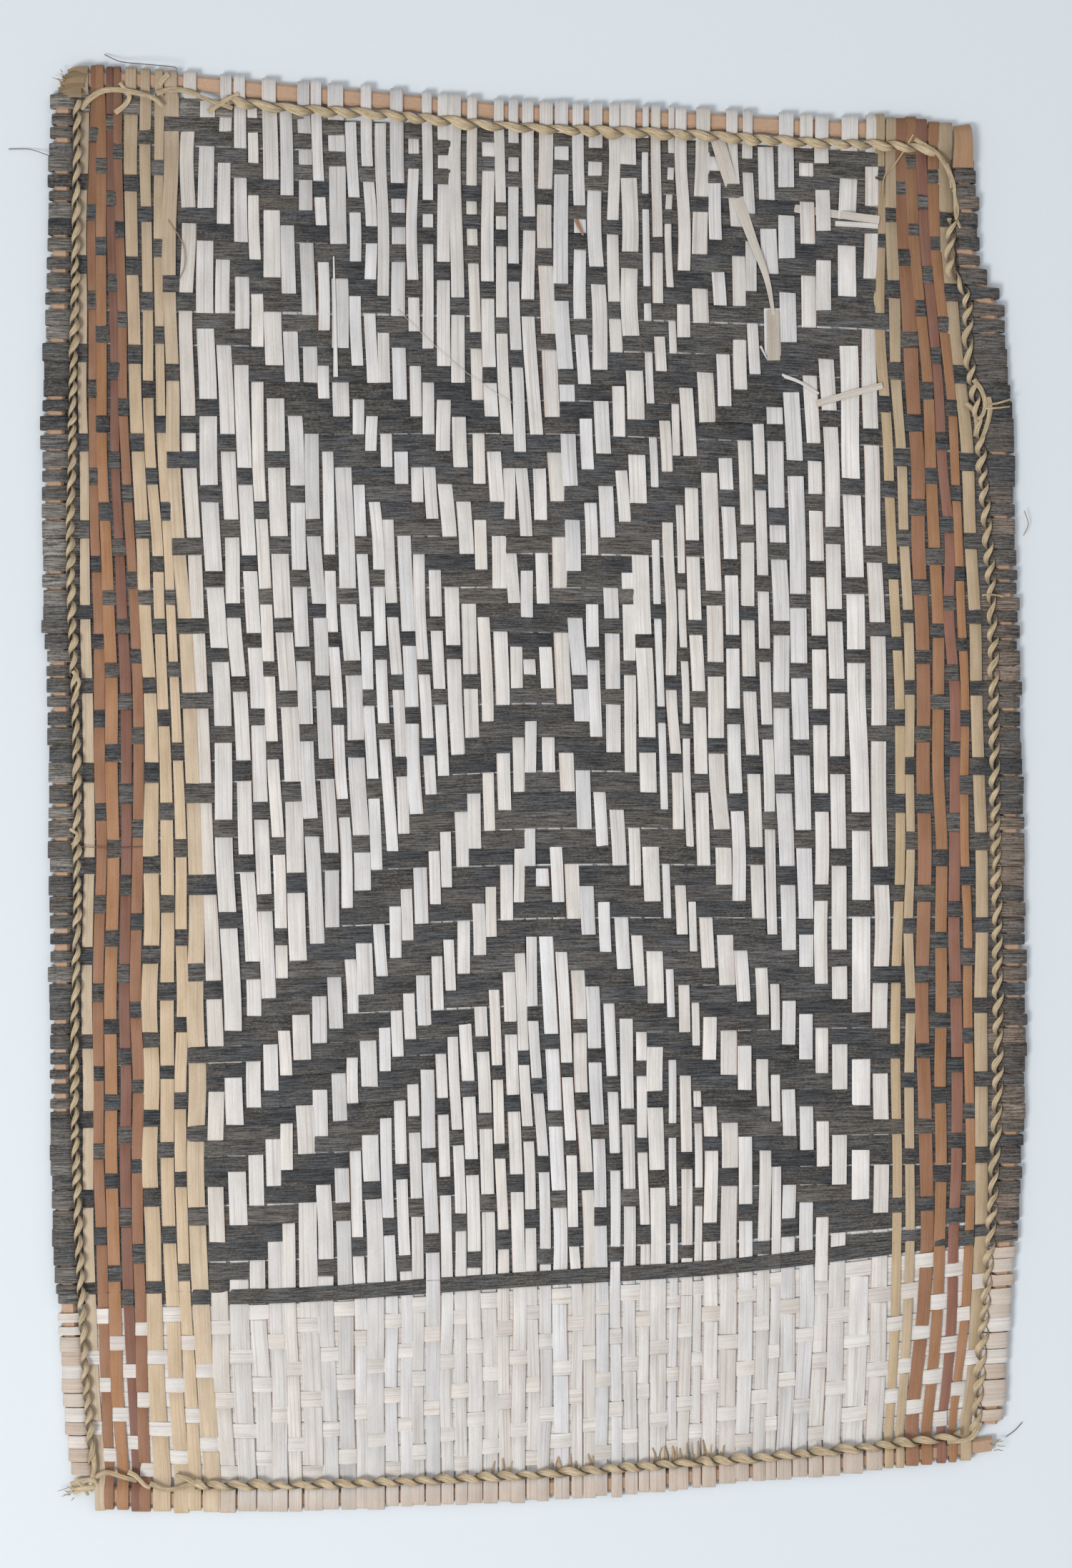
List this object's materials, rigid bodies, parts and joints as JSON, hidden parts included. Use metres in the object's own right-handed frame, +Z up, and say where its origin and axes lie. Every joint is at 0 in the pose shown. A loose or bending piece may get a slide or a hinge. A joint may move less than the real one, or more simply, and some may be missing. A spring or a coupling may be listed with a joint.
{
  "type": "woven reed mat",
  "caption": "Flat rectangular mat plaited from split reed, with turned edges over a rod on each side and a twined cord inside them.",
  "frame": {"origin": "under the middle of the mat's box, on the surface that it lies on", "axes": "+X across the mat, +Y along its length, +Z up out of the worked face"},
  "size_m": [0.3445, 0.5057, 0.0042],
  "materials": {
    "split_reed": "dry split reed, pale, with black-dyed and tan splints",
    "edge_rod": "split cane with its light brown rind",
    "twine": "twisted straw-coloured fibre"
  },
  "bodies": {
    "root": {"plaited_mat": "split_reed", "edge_rod_bottom": "edge_rod", "edge_rod_left": "edge_rod", "edge_rod_right": "edge_rod", "edge_rod_top": "edge_rod", "twining_bottom": "twine", "twining_left": "twine", "twining_right": "twine", "twining_top": "twine"}
  },
  "joints": []
}
